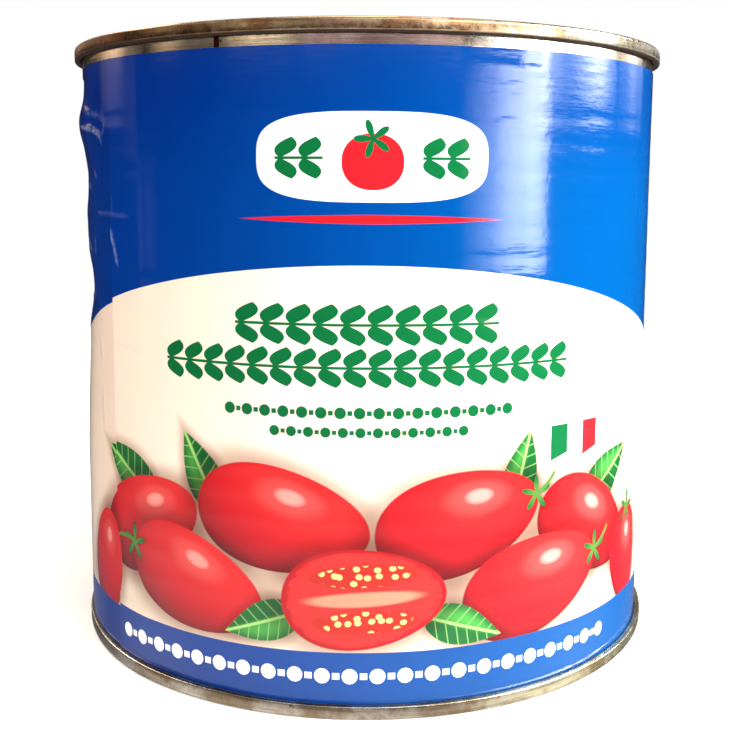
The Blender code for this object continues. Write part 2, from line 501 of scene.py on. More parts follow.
labelPrint = {
    "archTop": 100.9,
    "archSpread": 470,
    "archFoot": 73,    # how far the blue comes down at the sides
    "bandTop": 15.2,
    "bandRise": 0.45,    # the band rises a little to the right, and falls again at the side
    "misfit": 1,    # how much lower the print sits at the hidden end
    "badge": {"middle": 1.5, "height": 123.6, "halfWidth": 25, "halfHeight": 9.4},
    "underline": {"middle": 1.5, "height": 110.6, "halfWidth": 28, "halfHeight": 1},
    "fruit": {"middle": 1.5, "height": 122.6, "halfWidth": 6.6, "halfHeight": 5.9},
    "star": {"height": 127.4, "points": 5, "inner": 0.7, "reach": 3.4},
    "badgeSprays": {"middle": 1.5, "height": 123.4, "reach": 4.4, "halfWidth": 21, "pitch": 5.25},
    "badgeClear": 10.5,
    "sprays": (
        {"middle": 0.5, "height": 88.2, "reach": 4.5, "halfWidth": 29.5, "pitch": 5.9},
        {"middle": 0.7, "height": 78.9, "reach": 4.3, "halfWidth": 48.6, "pitch": 5.4},
    ),
    "beads": (
        {"middle": 1, "height": 69.1, "radius": 1.3, "halfWidth": 32.93, "pitch": 4.2},
        {"middle": 1, "height": 64.8, "radius": 1.15, "halfWidth": 22.18, "pitch": 3.8},
    ),
    "bandBeads": {"middle": 0, "height": 9.7, "radius": 1.75, "halfWidth": 67.12, "pitch": 6.2},
    "tab": {"left": 45, "right": 61, "low": 55.6, "high": 63.8, "slant": 1.5},
    "tabLine": {"height": 65.1, "halfWidth": 9.6, "halfHeight": 0.25, "strength": 0.6},
    "table": {"halfWidth": 21, "low": 22, "high": 60, "gap": 4.75, "line": 0.22},
    "ground": {"fades": (34, 17), "starts": (12, 17.5), "strength": 0.55},    # under the picture
    # Motif, along, height, turn in degrees, half length, half width
    "picture": (
        ("leaf", -62, 49.5, 152, 13, 6.5),
        ("leaf", 66, 48.5, 30, 13, 6.5),
        ("leaf", -38, 53, 118, 11, 5.5),
        ("leaf", 36.5, 53.5, 76, 10.5, 5.2),
        ("plum", -57, 38.5, 24, 18.5, 11),
        ("plum", 59, 38, -26, 18.5, 11),
        ("plum", -19, 44.5, -9, 20.5, 11.8),
        ("plum", 22, 44, 13, 20, 11.6),
        ("calyx", 41, 48.6, 20, 4.2, 4.2),
        ("calyx", -75, 31, 205, 4, 4),
        ("plum", -77, 25, 78, 13.5, 9.6),
        ("plum", 80, 25, -80, 13.5, 9.6),
        ("calyx", 80.6, 37.4, 80, 4, 4),
        ("plum", -42, 27.5, -14, 19.5, 11.4),
        ("calyx", -61.2, 32.6, 160, 4.4, 4.4),
        ("plum", 42, 27.3, 12, 20, 11.4),
        ("calyx", 61.8, 31.6, 16, 4.4, 4.4),
        ("leaf", -22.5, 21, 200, 10.5, 5.2),
        ("leaf", 22, 20.4, -18, 10.5, 5.2),
        ("cut", 0, 27.4, 4, 18.6, 11.4),
    ),
}


def rowParts(w, s, height, row):
    # The part of a repeat from -0.5 to 0.5, the distance up or down, and the row's ends
    u = w.minus(s, row["middle"])
    part = w.minus(w.calc("FRACT", w.over(u, row["pitch"])), 0.5)
    return part, w.away(height, row["height"]), w.below(w.size(u), row["halfWidth"])


def sprayRow(w, s, height, row):
    # A row of slanting leaf pairs on a stem
    part, up, ends = rowParts(w, s, height, row)
    rise = w.over(up, row["reach"])
    swell = w.times(rise, w.minus(1, rise))
    leaf = w.minus(w.away(part, w.scaled(rise, 0.5, -0.28)), w.times(swell, 1.75))
    leaf = w.inside(w.times(leaf, row["pitch"]))
    return w.both(w.either(leaf, w.below(up, 0.32)), ends)


def beadRow(w, s, height, row):
    # Dots with short dashes between them
    part, up, ends = rowParts(w, s, height, row)
    cell = w.times(part, row["pitch"])
    dot = w.below(w.vector("LENGTH", w.join(cell, up)), row["radius"])
    dashAlong = w.minus(w.minus(row["pitch"] / 2, w.size(cell)), row["pitch"] * 0.13)
    dashUp = w.minus(up, row["radius"] * 0.42)
    dash = w.inside(w.either(dashAlong, dashUp))
    return w.both(w.either(dot, dash), ends)


def ovalMask(w, s, height, shape, power):
    u = w.size(w.over(w.minus(s, shape["middle"]), shape["halfWidth"]))
    v = w.size(w.over(w.minus(height, shape["height"]), shape["halfHeight"]))
    total = w.calc("ADD", w.calc("POWER", u, power), w.calc("POWER", v, power))
    return w.inside(w.times(w.minus(total, 1), shape["halfHeight"] / power))


def drawPicture(w, place, height, ground):
    look = labelPrint["ground"]
    shade = w.both(w.ease(height, *look["fades"]), w.ease(height, *look["starts"]), look["strength"])
    colour = w.blend(shade, ground, inks["groundShade"])
    groups = {"plum": plumGroup(), "cut": cutGroup(), "leaf": leafGroup(), "calyx": calyxGroup()}
    for motif, along, up, turn, halfLength, halfWidth in labelPrint["picture"]:
        inputs = {"Below": colour, "Place": place, "Middle": (along, up, 0),
                  "Turn": (0, 0, math.radians(turn)), "Size": (halfLength, halfWidth, 1)}
        colour = w.add("Group", inputs, node_tree=groups[motif]).outputs[0]
    return colour


def drawBadge(w, s, height, colour):
    badge, star = labelPrint["badge"], labelPrint["star"]
    colour = w.blend(ovalMask(w, s, height, badge, 3.2), colour, inks["white"])
    sprays = sprayRow(w, s, height, labelPrint["badgeSprays"])
    clear = w.below(labelPrint["badgeClear"], w.away(s, badge["middle"]))
    colour = w.blend(w.both(sprays, clear), colour, inks["green"])
    colour = w.blend(ovalMask(w, s, height, labelPrint["fruit"], 2.2), colour, inks["red"])
    u = w.minus(s, badge["middle"])
    v = w.minus(height, star["height"])
    lobes = w.size(w.calc("SINE", w.times(w.calc("ARCTAN2", v, u), star["points"] / 2)))
    outline = w.scaled(w.calc("POWER", lobes, 2), star["reach"], star["inner"])
    inStar = w.below(w.vector("LENGTH", w.join(u, v)), outline)
    colour = w.blend(inStar, colour, inks["green"])
    line = ovalMask(w, s, height, labelPrint["underline"], 1.4)
    return w.blend(line, colour, inks["red"])


def drawTab(w, s, height, colour):
    # Three upright stripes with slanting lower ends and a thin line above
    tab, line = labelPrint["tab"], labelPrint["tabLine"]
    part = w.over(w.minus(s, tab["left"]), (tab["right"] - tab["left"]) / 3)
    low = w.scaled(w.calc("FRACT", part), tab["slant"], tab["low"])
    inTab = w.both(w.below(low, height), w.below(height, tab["high"]),
                   w.below(tab["left"], s), w.below(s, tab["right"]))
    stripes = inks["green"]
    for i, stripe in ((1, "white"), (2, "red")):
        past = w.inside(w.minus(i, part), 0.03)
        stripes = w.blend(past, stripes, inks[stripe])
    colour = w.blend(inTab, colour, stripes)
    middle = (tab["left"] + tab["right"]) / 2
    inLine = w.both(w.below(w.away(height, line["height"]), line["halfHeight"]),
                    w.below(w.away(s, middle), line["halfWidth"]), line["strength"])
    return w.blend(inLine, colour, inks["green"])


def drawTable(w, s, height, colour):
    # A bare ruled box on each side, half way between the two pictures
    table = labelPrint["table"]
    fromSide = w.minus(halfGirth / 2, w.size(s))
    middle = (table["low"] + table["high"]) / 2
    above = w.minus(w.away(height, middle), table["high"] - middle)
    edge = w.either(w.minus(fromSide, table["halfWidth"]), above)
    frameLine = w.below(w.size(edge), table["line"] * 1.6)
    rows = w.over(w.minus(height, table["low"]), table["gap"])
    fromRule = w.minus(0.5, w.away(w.calc("FRACT", rows), 0.5))
    rule = w.below(w.times(fromRule, table["gap"]), table["line"])
    column = w.below(w.away(fromSide, table["halfWidth"] * 0.38), table["line"])
    rules = w.both(w.either(rule, column), w.inside(edge))
    return w.blend(w.either(frameLine, rules), colour, inks["deepBlue"])


labelPaper = {
    "finish": {"Specular IOR Level": 0, "Coat Weight": 1, "Coat Roughness": 0.10, "Coat IOR": 1.5},
    "coreFinish": {"Specular IOR Level": 0.3, "Roughness": 0.85},
    "core": (tint(232, 226, 212), tint(214, 205, 186)),
    "lapShade": {"from": 396, "to": 414, "colour": tint(238, 224, 222), "strength": 0.5},
    "creaseInkAndSheen": {"colour": tint(148, 168, 198), "strength": 0.30},    # lighter ink along the creases: partly worn ink, partly a painted highlight
    "worn": {"colour": tint(228, 230, 236), "strength": 0.5},
    "fade": {"clouds": 0.10, "fibres": 0.05},
    "ripple": {"height": 0.06, "strength": 0.5, "atLeft": 0.3},    # most on the right-hand side
}


def makeLabelPaper():
    material, w, shader = newMaterial("printed label paper")
    given = w.add("Attribute", {}, attribute_name="printPlace").outputs["Vector"]
    along, height, creaseStrength = w.split(given)
    s = w.calc("WRAP", along, halfGirth / 2, -halfGirth / 2)
    place = w.join(s, height)
    square = w.times(s, s)
    arch = w.scaled(square, -1 / labelPrint["archSpread"], labelPrint["archTop"])
    arch = w.calc("SMOOTH_MAX", arch, labelPrint["archFoot"], 9)
    inPanel = w.below(height, arch)

    panel = drawPicture(w, place, height, inks["offWhite"])
    for row in labelPrint["sprays"]:
        panel = w.blend(sprayRow(w, s, height, row), panel, inks["green"])
    for row in labelPrint["beads"]:
        panel = w.blend(beadRow(w, s, height, row), panel, inks["green"])
    panel = drawTab(w, s, height, panel)
    panel = drawTable(w, s, height, panel)
    rightward = w.calc("SINE", w.over(along, labelRadius))
    # Painted light: the blue lightens towards the right-hand side
    blue = w.blend(w.ease(rightward, -0.9, 0.8), inks["deepBlue"], inks["paintedLitBlue"])
    # Painted shade: the blue darkens near the top
    blue = w.blend(w.ease(height, 112, 142), blue, inks["paintedTopShade"], "MULTIPLY")
    field = drawBadge(w, s, height, blue)
    colour = w.blend(inPanel, field, panel)
    twice = w.calc("SINE", w.times(along, 2 / labelRadius))
    bandHeight = w.scaled(twice, -labelPrint["bandRise"], height)
    band = w.blend(beadRow(w, s, bandHeight, labelPrint["bandBeads"]), blue, inks["white"])
    inBand = w.below(bandHeight, labelPrint["bandTop"])
    colour = w.blend(inBand, colour, band)

    wide = w.join(along, height)
    ink = w.noise(wide, 0.055, 3)
    fibre = w.noise(w.vector("MULTIPLY", wide, (1, 2.6, 1)), 1.4, 3, 0.65)
    fade = labelPaper["fade"]
    uneven = w.calc("ADD", w.times(ink, fade["clouds"]), w.times(fibre, fade["fibres"]))
    uneven = w.minus(1, w.minus(uneven, 0.07))
    colour = w.vector("MULTIPLY", colour, w.join(uneven, uneven, uneven))
    # Along the creases: worn, lighter ink and a painted highlight
    creaseInkAndSheen = w.both(w.ease(creaseStrength, 0.25, 1), w.ease(w.noise(wide, 0.25, 2), 0.25, 0.50))
    chips = w.both(w.ease(creaseStrength, 0.55, 1.2), w.ease(w.noise(wide, 0.9, 3, 0.7), 0.42, 0.62))
    lap = labelPaper["lapShade"]
    besideLap = w.ease(along, lap["from"], lap["to"])
    for mask, name, mode in (
        (creaseInkAndSheen, "creaseInkAndSheen", "MIX"),
        (chips, "worn", "MIX"),
        (besideLap, "lapShade", "MULTIPLY"),
    ):
        look = labelPaper[name]
        colour = w.blend(w.times(mask, look["strength"]), colour, look["colour"], mode)

    dull = w.scaled(fibre, 0.16, 0.30)
    streaks = w.noise(w.vector("MULTIPLY", wide, (0.12, 0.70, 1)), 1, 2.5, 0.5)
    ripple = labelPaper["ripple"]
    lively = w.scaled(w.ease(rightward, 0.1, 0.45), 1 - ripple["atLeft"], ripple["atLeft"])
    rippled = w.times(w.calc("ADD", w.noise(wide, 0.40, 2), streaks), lively)
    peel = w.relief(rippled, ripple["height"], ripple["strength"])
    inputs = {"Height": fibre, "Distance": 0.02 * mm, "Strength": 0.3, "Normal": peel}
    grain = w.add("Bump", inputs).outputs[0]
    finishWith(w, shader, labelPaper["finish"], Base_Color=colour, Roughness=dull,
               Normal=grain, Coat_Normal=peel)
    return material


def makePaperCore():
    # The cut edges and the back of the paper
    material, w, shader = newMaterial("bare paper")
    fibres = w.noise(w.spot(), 2.2, 4, 0.7)
    colour = w.blend(w.ease(fibres, 0.35, 0.7), *labelPaper["core"])
    finishWith(w, shader, labelPaper["coreFinish"], Base_Color=colour,
               Normal=w.relief(fibres, 0.03, 0.5))
    return material


# Tinplate: a thin tin coating gone brownish, with scratches and a few rusty specks. The tints
# are for its bright, dull and dark parts and the rust

plateLooks = {
    "top": {
        "name": "rolled tinplate",
        "tints": (tint(188, 162, 130), tint(146, 112, 80), tint(80, 50, 24), tint(88, 46, 24)),
        "rim": {
            "creviceShade": tint(40, 20, 10),         # painted shade where the seam meets the wall
            "paintedLeftShade": tint(150, 112, 70),      # painted shade over the left of the rim
            "paintedRightLight": (0.68, 0.85, 1, 1),     # painted light: greyer and cooler at the right
            "panel": tint(214, 206, 192),        # lighter and plainer inside the rim
        },
        "streaking": 0.32, "mottling": 0.10, "roughness": (0.20, 0.36), "spotGap": 9,
    },
    "foot": {
        "name": "rolled tinplate at the foot",
        "tints": (tint(188, 178, 162), tint(142, 124, 102), tint(80, 60, 38), tint(74, 44, 26)),
        "rim": {
            "creviceShade": tint(36, 26, 22),
            "paintedLeftShade": (1, 1, 1, 1),
            "paintedRightLight": (1.7, 1.75, 1.4, 1),    # painted light: brighter at the right
            "panel": tint(214, 208, 198),
        },
        "streaking": 0.45, "mottling": 0.12, "roughness": (0.20, 0.38), "spotGap": 7,
    },
    "wall": {
        "name": "lacquered plate",
        "tints": (tint(230, 218, 198), tint(212, 194, 168), tint(160, 130, 98), tint(110, 66, 40)),
        "streaking": 0.15, "mottling": 0.2, "roughness": (0.11, 0.20), "spotGap": 9,
    },
    "weld": {
        "name": "weld stripe",
        "tints": (tint(84, 44, 30), tint(62, 28, 20), tint(36, 16, 12), tint(60, 26, 14)),
        "streaking": 0.3, "mottling": 0.6, "roughness": (0.35, 0.60), "spotGap": 3,
    },
}


def creviceShadeMask(w, up, reach):
    # Where the painted shade goes: close to the wall, just below or above the seam. At the foot the
    # label's edge narrows it
    fromMiddle = w.away(up, tinHeight / 2)
    foot = tinHeight / 2 - pressedEnd["seamDepth"]
    nearPaper = w.either(w.ease(up, 70, 80), w.ease(reach, 77.55, 77.3))
    return w.both(w.ease(fromMiddle, foot + 0.7, foot + 0.2), w.ease(reach, 76.8, 77.2), nearPaper)


def makePlate(look):
    material, w, shader = newMaterial(look["name"])
    spot = w.spot()
    x, y, up = w.split(spot)
    turn = w.calc("ARCTAN2", x, w.times(y, -1))
    reach = w.vector("LENGTH", w.join(x, y))
    rolled = w.join(w.times(turn, seamRadius), up, reach)
    clouds = w.noise(spot, 0.11, 4, 0.6)
    mottle = w.noise(spot, 0.8, 4, 0.65)
    streaks = w.noise(w.vector("MULTIPLY", rolled, (0.09, 1.6, 1.6)), 1, 3, 0.6)
    bright, dull, dark, rust = look["tints"]
    colour = w.blend(w.ease(clouds, 0.40, 0.60), bright, dull)
    streaked = w.times(w.ease(streaks, 0.42, 0.70), look["streaking"])
    mottled = w.times(w.ease(mottle, 0.52, 0.75), look["mottling"])
    for mask in (streaked, mottled):
        colour = w.blend(mask, colour, dark)
    rim = look.get("rim")
    onRim = w.ease(reach, 73, 76.5)
    if rim:
        colour = w.blend(w.scaled(onRim, -0.85, 0.85), colour, rim["panel"])
    spots = w.add("TexVoronoi", {"Vector": spot, "Scale": 1 / look["spotGap"]})
    speck = w.both(w.ease(spots.outputs["Distance"], 0.10, 0.05), w.ease(mottle, 0.45, 0.6))
    colour = w.blend(speck, colour, rust)
    scratch = w.noise(w.vector("MULTIPLY", rolled, (0.05, 3.4, 3.4)), 1, 2, 0.5)
    scratch = w.ease(scratch, 0.66, 0.74)
    low, high = look["roughness"]
    rough = w.scaled(w.ease(mottle, 0.3, 0.75), high - low, low)
    rough = w.scaled(scratch, 0.12, rough, clamp=True)
    metal = 1
    if rim:
        # Painted shade over the left of the rim, painted light over its right
        side = w.calc("SINE", turn)
        for name, start, end in (("paintedLeftShade", -0.35, -0.80), ("paintedRightLight", 0.15, 0.60)):
            atSide = w.both(w.ease(side, start, end), onRim)
            colour = w.blend(atSide, colour, rim[name], "MULTIPLY")
        # Painted shade in the crevice under the seam, made rougher and less metallic there so it stays
        # dark
        creviceShade = creviceShadeMask(w, up, reach)
        colour = w.blend(creviceShade, colour, rim["creviceShade"])
        rough = w.scaled(creviceShade, 0.5, rough, clamp=True)
        metal = w.scaled(creviceShade, -0.9, 1)
    height = w.minus(w.times(streaks, 0.6), w.times(scratch, 0.5))
    finishWith(w, shader, {"Specular IOR Level": 0.4}, Base_Color=colour, Metallic=metal,
               Roughness=rough, Normal=w.relief(height, 0.04, 0.35))
    return material


# The can's wall, with what it holds

canWall = {
    "plate": 0.65,
    "edgeDepth": 2.5,    # below the rim, hidden up inside the seam
    "recessDepth": 7.1,
    "crownDepth": 5.6,
    "crownRadius": 70,
    "rowStep": 1.5,
    "angleStep": 1.8,
    "dentStep": 0.9,
    "dentAngles": (-112, -48),
}


def wallAngles():
    start, end = canWall["dentAngles"]
    angles = spaced(start, end, canWall["dentStep"])
    return angles + spaced(end, start + 360, canWall["angleStep"])[1:-1]


def makeCanWall(material):
    inner = wallRadius - canWall["plate"]
    low = canWall["edgeDepth"]
    crown, depth = canWall["crownRadius"], canWall["crownDepth"]
    recess = [(0, depth), (crown, depth), (crown, canWall["recessDepth"])]
    recess += [(inner, canWall["recessDepth"]), (inner, low)]
    wall = [(wallRadius, height) for height in spaced(low, tinHeight - low, canWall["rowStep"])]
    top = [(radius, tinHeight - depth) for radius, depth in reversed(recess)]

    def relief(angle, radius, height):
        if radius < wallRadius - 0.01:
            return (0, 0)
        return (plateRelief(frontAngle(angle), height), 0)

    points, faces = turnedMesh(recess + wall + top, wallAngles(), relief)
    return makePiece("can_wall", points, faces, [material], ["can_body"])


# The lapped weld down the wall: a dark stripe that stands a little proud

weldStripe = {"width": 1.5, "sunk": 0.06, "proud": 0.06, "low": 2.7, "high": 149.3, "rowStep": 3}


def makeWeldStripe(material):
    half = math.degrees(weldStripe["width"] / 2 / wallRadius)
    sunk, proud = weldStripe["sunk"], weldStripe["proud"]
    section = [(-half, -sunk), (-half * 0.8, proud), (0, proud * 1.3), (half * 0.8, proud), (half, -sunk)]
    heights = spaced(weldStripe["low"], weldStripe["high"], weldStripe["rowStep"])
    points = []
    for height in heights:
        wander = 0.12 * noise.noise(Vector((0, 3, height / 9)))
        base = wallRadius + plateRelief(weldAngle, height)
        for offset, outwards in section:
            points.append(onWall(base + outwards, weldAngle + offset + wander * half, height))
    faces = []
    count = len(section)
    for low in range(0, len(points) - count, count):
        for i in range(count):
            after = (i + 1) % count
            faces.append((low + i, low + after, low + count + after, low + count + i))
    faces.append(tuple(range(count)))
    faces.append(tuple(range(len(points) - count, len(points))))
    return makePiece("weld_stripe", points, faces, [material], [])


# The pressed ends with their rolled seams. Depths are below the rim

pressedEnd = {
    "sheet": 0.3,
    "seamDepth": 3.1,
    "seamRound": 0.75,
    "seamFoot": 0.25,
    "rimInner": 77,
    "chuckTop": 76.2,
    "chuckFoot": 75.3,
    "grooveRadius": 1,
    "grooveDepth": 5.6,
    "panelDepth": 3.6,
    "panelRadius": 72.5,
    "lipRadius": 0.6,
    "bead": {"radius": 62, "halfWidth": 3, "rise": 0.8},
    "step": {"outer": 44, "inner": 41, "drop": 0.9},
    "hook": (77.25, 76.95, 75.95, 75.75),   # the slot that the wall's edge goes up into
    "hookDepth": 2.2,
    "turnStep": 1.5,
    "uneven": {"outside": 76.9, "below": 0.3, "wave": 0.05, "fine": 0.02, "dip": 0.10},
    "knock": {"angle": -82, "halfWidth": 40, "from": 70, "to": 76},
    # Piece, finish, node, the rim's height, which way its middle lies, knocked in, noise seed
    "pieces": (
        ("pressed_top", "top", "top_end", tinHeight, -1, 0.6, 1.7),
        ("pressed_bottom", "foot", "bottom_end", 0, 1, 0.9, 8.3),
    ),
}


def panelDepthAt(radius):
    bead, step = pressedEnd["bead"], pressedEnd["step"]
    rise = bead["rise"] * bump((radius - bead["radius"]) / (bead["halfWidth"] * 1.25))
    fall = smooth((step["outer"] - radius) / (step["outer"] - step["inner"]))
    crown = 0.18 * (1 - (radius / pressedEnd["panelRadius"]) ** 2)
    return pressedEnd["panelDepth"] - rise + step["drop"] * fall - crown


def endProfile():
    # Out over the panel and the rim, down the seam, up into its slot and back under the panel
    end = pressedEnd
    groove, foot, seam, sheet = end["grooveRadius"], end["seamFoot"], end["seamDepth"], end["sheet"]
    grooveMiddle = (end["chuckFoot"] - groove, end["grooveDepth"] - groove)
    radii = [0] + spaced(6, 40, 8.5) + spaced(40.6, 44.4, 0.38)
    radii += spaced(47, 57.5, 3.5) + spaced(58, 66, 0.5) + spaced(67, 71.4, 1.5)
    profile = [(radius, panelDepthAt(radius)) for radius in radii]
    lip = end["lipRadius"]
    profile += arc((end["panelRadius"] - lip, end["panelDepth"] + lip), lip, -90, 0, 4)
    profile += arc(grooveMiddle, groove, 180, 0, 8)
    profile += [(end["chuckFoot"] + 0.35, 3), (end["chuckTop"] - 0.15, 1.4)]
    rim = end["rimInner"] - end["chuckTop"]
    profile += arc((end["rimInner"], rim), rim, 180, 270, 5)
    rim = end["seamRound"]
    profile += arc((seamRadius - rim, rim), rim, -90, 0, 6)
    profile += arc((seamRadius - foot, seam - foot), foot, 0, 90, 4)
    hookOut, slotOut, slotIn, hookIn = end["hook"]
    profile += [(hookOut, seam), (slotOut, seam - 0.3), (slotOut, end["hookDepth"])]
    profile += [(slotIn, end["hookDepth"]), (slotIn, seam - 0.3), (hookIn, seam)]
    profile += [(end["chuckFoot"] + sheet, grooveMiddle[1])]
    profile += arc(grooveMiddle, groove + sheet, 0, 180, 8)
    profile += [(end["panelRadius"] - 1.1, end["panelDepth"] + 0.9 + sheet)]
    return profile + [(radius, panelDepthAt(radius) + sheet) for radius in reversed(radii[:-1])]


def makeEnd(name, material, node, rim, inwards, knockedIn, seed):
    uneven, knock = pressedEnd["uneven"], pressedEnd["knock"]
    profile = [(radius, rim + inwards * depth) for radius, depth in endProfile()]

    def relief(angle, radius, height):
        # The seam is a little uneven, thicker where it crosses the weld, and knocked in at the left
        depth = abs(height - rim)
        reach = smooth((radius - knock["from"]) / (knock["to"] - knock["from"]))
        pushed = knockedIn * reach * bump((frontAngle(angle) - knock["angle"]) / knock["halfWidth"])
        if radius < uneven["outside"] or depth < uneven["below"]:
            return (-pushed, 0)
        turn = math.radians(angle)
        wave = noise.noise(Vector((3 * math.sin(turn), 3 * math.cos(turn), seed)))
        fine = noise.noise(Vector((14 * math.sin(turn), 14 * math.cos(turn), seed + depth)))
        atWeld = bump((frontAngle(angle) - weldAngle) / 2.4)
        thinner = 0.02 + uneven["wave"] * (0.5 - 0.5 * wave) + uneven["fine"] * fine
        dip = uneven["dip"] * (0.6 * wave + atWeld) * smooth((depth - 1.6) / 1.2)
        return (-pushed - max(0, thinner - 0.03 * atWeld), inwards * dip)

    angles = spaced(0, 360, pressedEnd["turnStep"])[:-1]
    points, faces = turnedMesh(profile, angles, relief)
    return makePiece(name, points, faces, [material], [node], sharp=50)


# The label: one sheet of paper whose outer end laps over its hidden end

labelSheet = {
    "paper": 0.13,
    "lapEdge": -51.5,
    "lapWidth": 9,
    "lapRamp": 3,
    "lapLift": 0.17,
    "edgeLift": 0.10,
    "creasedAngles": (-46, -100),
    "fineStep": 0.6,
    "plainStep": 1.8,
    "rows": ((50, 1.7), (95, 1.2), (138, 0.75), (150, 1.1)),    # up to, step
    "footDrop": 0.5,    # down to the seam's ledge
    "edgeWave": 0.12,
}


def sheetAngles():
    # From the hidden end leftwards all round to the lap edge, so angles go on below -360
    hidden = labelSheet["lapEdge"] + labelSheet["lapWidth"]
    creased, plain = labelSheet["creasedAngles"]
    fine = labelSheet["fineStep"]
    overlap = hidden - 360 + labelSheet["lapRamp"]
    angles = spaced(hidden, creased, fine)
    angles += spaced(creased, plain, fine)[1:]
    angles += spaced(plain, overlap, labelSheet["plainStep"])[1:]
    return angles + spaced(overlap, labelSheet["lapEdge"] - 360, fine)[1:]


def sheetLift(angle):
    hidden = labelSheet["lapEdge"] + labelSheet["lapWidth"] - 360
    ramp = labelSheet["lapRamp"]
    return labelSheet["lapLift"] * smooth((hidden + ramp - angle) / ramp)


def makeLabel(printed, core):
    angles = sheetAngles()
    first, last = angles[0], angles[-1]
    heights = [labelBottom - labelSheet["footDrop"]]
    for upTo, step in labelSheet["rows"]:
        heights += spaced(heights[-1], min(upTo, labelTop - 0.1), step)[1:]
    points = []
    places = []
    for angle in angles:
        front = frontAngle(angle)
        along = math.radians(angle + 360) * labelRadius
        misfit = labelPrint["misfit"] * (angle - last) / (first - last)
        wave = labelSheet["edgeWave"] * noise.noise(Vector((along / 31, 7, 0)))
        nearEdge = smooth((last + 3 - angle) / 3)
        for height in heights:
            atEdge = smooth((abs(height - 75) - 62) / 9)    # the top and bottom edges wander
            up = height + wave * atEdge * 0.8
            loose = labelSheet["edgeLift"] * (0.4 + noise.noise(Vector((0, 5, height / 14))))
            relief = paperRelief(front, height) + sheetLift(angle) + nearEdge * max(0, loose)
            creaseStrength = min(1, math.sqrt(creaseAt(front, height) / 0.3))
            for inwards in (0, labelSheet["paper"]):
                points.append(onWall(labelRadius + relief - inwards, angle, up))
                places += [along, height + misfit, creaseStrength]

    # Corners of a face as steps of column, row and side, where side 0 is printed
    outside = ((0, 0, 0), (1, 0, 0), (1, 1, 0), (0, 1, 0))
    inside = ((0, 0, 1), (0, 1, 1), (1, 1, 1), (1, 0, 1))
    edge = ((0, 0, 0), (1, 0, 0), (1, 0, 1), (0, 0, 1))
    end = ((0, 0, 0), (0, 1, 0), (0, 1, 1), (0, 0, 1))
    rows = len(heights)
    columns, steps = range(len(angles) - 1), range(rows - 1)

    def face(column, row, corners):
        return [((column + i) * rows + row + j) * 2 + side for i, j, side in corners]

    faces = [face(column, row, outside) for column in columns for row in steps]
    printedFaces = len(faces)
    for column in columns:
        faces += [face(column, row, inside) for row in steps]
        faces += [face(column, row, edge) for row in (0, rows - 1)]
    for column in (0, len(angles) - 1):
        faces += [face(column, row, end) for row in steps]
    faceMaterials = [0] * printedFaces + [1] * (len(faces) - printedFaces)
    label = makePiece("label_sheet", points, faces, [printed, core],
                      ["paper_label"], faceMaterials=faceMaterials)
    attribute = label.data.attributes.new("printPlace", "FLOAT_VECTOR", "POINT")
    attribute.data.foreach_set("vector", places)
    return label


# Studio: a pale floor, soft lights and the camera

